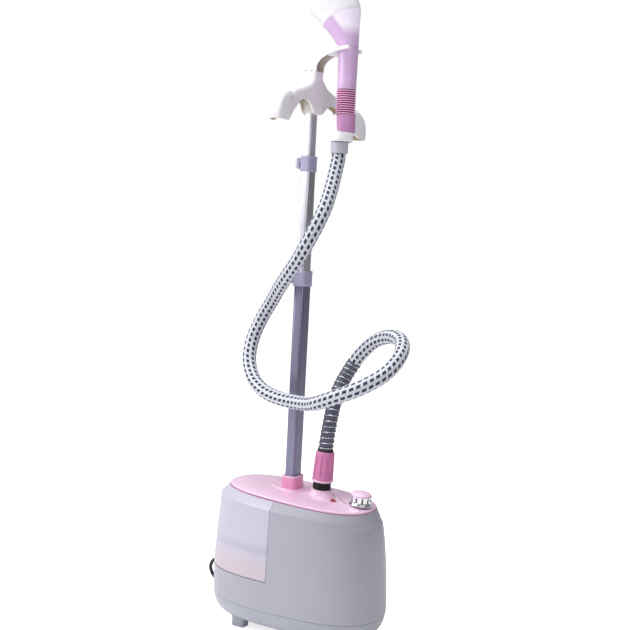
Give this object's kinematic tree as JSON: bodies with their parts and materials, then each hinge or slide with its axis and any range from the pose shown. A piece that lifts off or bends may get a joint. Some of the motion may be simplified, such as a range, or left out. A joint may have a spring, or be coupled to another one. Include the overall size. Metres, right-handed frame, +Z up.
{
  "type": "garment steamer",
  "caption": "Upright garment steamer: oval base with slide-out water tank, telescopic pole, hanger with holder arm, braided steam hose and hand-held steam head.",
  "frame": {"origin": "on the floor under the centre of the base", "axes": "+X towards the front (knob side), +Z up, +Y to the left of someone who faces the front from behind"},
  "size_m": [0.4524, 0.32, 1.1587],
  "materials": {
    "shell_white": "glossy white moulded plastic",
    "pan_grey": "glossy pale grey moulded plastic",
    "cover_pink": "glossy pale pink moulded plastic",
    "socket_pink": "satin deep pink moulded plastic",
    "cuff_pink": "satin pink moulded plastic",
    "tank_lilac": "frosted translucent lilac plastic",
    "black_plastic": "black moulded plastic",
    "seal_rubber": "matt rubber",
    "cast_alu": "as-cast aluminium",
    "steel_dark": "heat-darkened steel",
    "steel_bright": "plain steel",
    "tube_metal": "satin anodised tube",
    "clamp_lilac": "satin grey-lilac plastic",
    "lens_red": "clear red lens",
    "knob_chrome": "bright chrome plating",
    "hanger_white": "glossy warm white plastic",
    "inner_white": "white moulded plastic",
    "hose_braid": "white braid with navy flecks over a rubber core",
    "cord_black": "black pvc",
    "handle_lilac": "pearly lilac plastic",
    "grip_pink": "pink ribbed soft grip",
    "roller_tyre": "black rubber roller"
  },
  "bodies": {
    "base": {"base_pan": "pan_grey", "main_shell": "shell_white", "top_cover": "cover_pink", "pole_socket": "socket_pink", "hose_outlet": "black_plastic", "outlet_seal": "seal_rubber", "boiler": "cast_alu", "heating_element": "steel_dark", "thermostat": "black_plastic", "steam_pipe": "cast_alu", "water_seat": "cuff_pink", "feed_pipe": "inner_white", "rotary_switch": "inner_white", "indicator_lens": "lens_red", "rear_feet": "pan_grey", "wheel_brackets": "clamp_lilac", "wheel_axles": "steel_bright", "pan_screws": "steel_bright", "cord_gland": "black_plastic", "pole_lower": "tube_metal", "lower_clamp": "clamp_lilac", "lower_clamp_pin": "steel_bright", "hose_cuff": "cuff_pink", "spring_guard": "steel_bright", "hose_lower": "hose_braid", "mains_cord": "cord_black", "cord_hank": "cord_black", "cord_tie": "black_plastic", "cord_tail": "cord_black", "mains_plug": "black_plastic"},
    "tank": {"water_tank": "tank_lilac"},
    "tank_cap": {"tank_cap": "cuff_pink", "valve_spring": "steel_bright"},
    "valve": {"valve_pin": "inner_white"},
    "knob": {"knob_ring": "knob_chrome", "knob_cap": "cover_pink"},
    "wheel_left": {"wheel_left": "roller_tyre"},
    "wheel_right": {"wheel_right": "roller_tyre"},
    "lower_lever": {"lower_clamp_lever": "clamp_lilac"},
    "middle_pole": {"pole_middle": "tube_metal", "upper_clamp": "clamp_lilac", "upper_clamp_pin": "steel_bright", "hose_middle": "hose_braid"},
    "upper_lever": {"upper_clamp_lever": "clamp_lilac"},
    "upper_pole": {"pole_upper": "tube_metal", "hanger_body": "hanger_white", "holder_arm": "hanger_white", "hanger_screws": "steel_bright", "hose_upper": "hose_braid"},
    "handset": {"hose_top_cuff": "inner_white", "handset_collar": "hanger_white", "handset_sleeve": "handle_lilac", "grip_bellows": "grip_pink", "handset_handle": "handle_lilac", "steam_tube": "cast_alu", "steam_head": "handle_lilac", "nozzle_ring": "hanger_white", "steam_plate": "steel_bright"}
  },
  "joints": [
    {"name": "middle_pole_slide", "type": "slide", "parent": "base", "child": "middle_pole", "axis": [0, 0, 1], "range_m": [-0.14, 0.12], "deforming": ["hose_lower", "spring_guard"]},
    {"name": "upper_pole_slide", "type": "slide", "parent": "middle_pole", "child": "upper_pole", "axis": [0, 0, 1], "range_m": [-0.065, 0.16], "deforming": ["hose_middle"]},
    {"name": "handset_slide", "type": "slide", "parent": "upper_pole", "child": "handset", "axis": [1, 0, 0], "range_m": [0, 0.06], "deforming": ["hose_upper"]},
    {"name": "lower_lever_hinge", "type": "hinge", "parent": "base", "child": "lower_lever", "pos_m": [-0.0376, 0.012, 0.64], "axis": [0, 0, -1], "range_deg": [0, 80]},
    {"name": "upper_lever_hinge", "type": "hinge", "parent": "middle_pole", "child": "upper_lever", "pos_m": [-0.0361, 0.012, 0.846], "axis": [0, 0, -1], "range_deg": [0, 80]},
    {"name": "tank_slide", "type": "slide", "parent": "base", "child": "tank", "axis": [-1, 0, 0], "range_m": [0, 0.16]},
    {"name": "tank_cap_turn", "type": "hinge", "parent": "tank", "child": "tank_cap", "pos_m": [-0.095, 0, 0.11], "axis": [0, 0, 1], "continuous": true},
    {"name": "valve_press", "type": "slide", "parent": "tank_cap", "child": "valve", "axis": [0, 0, 1], "range_m": [0, 0.002], "stiffness_N_per_m": 20, "deforming": ["valve_spring"]},
    {"name": "knob_turn", "type": "hinge", "parent": "base", "child": "knob", "pos_m": [0.118, 0, 0.24399], "axis": [0.0593, 0, 0.9982], "range_deg": [-40, 230]},
    {"name": "wheel_left_spin", "type": "hinge", "parent": "base", "child": "wheel_left", "pos_m": [0.112, 0.046, 0.0085], "axis": [0, 1, 0], "continuous": true},
    {"name": "wheel_right_spin", "type": "hinge", "parent": "base", "child": "wheel_right", "pos_m": [0.112, -0.046, 0.0085], "axis": [0, 1, 0], "continuous": true}
  ]
}
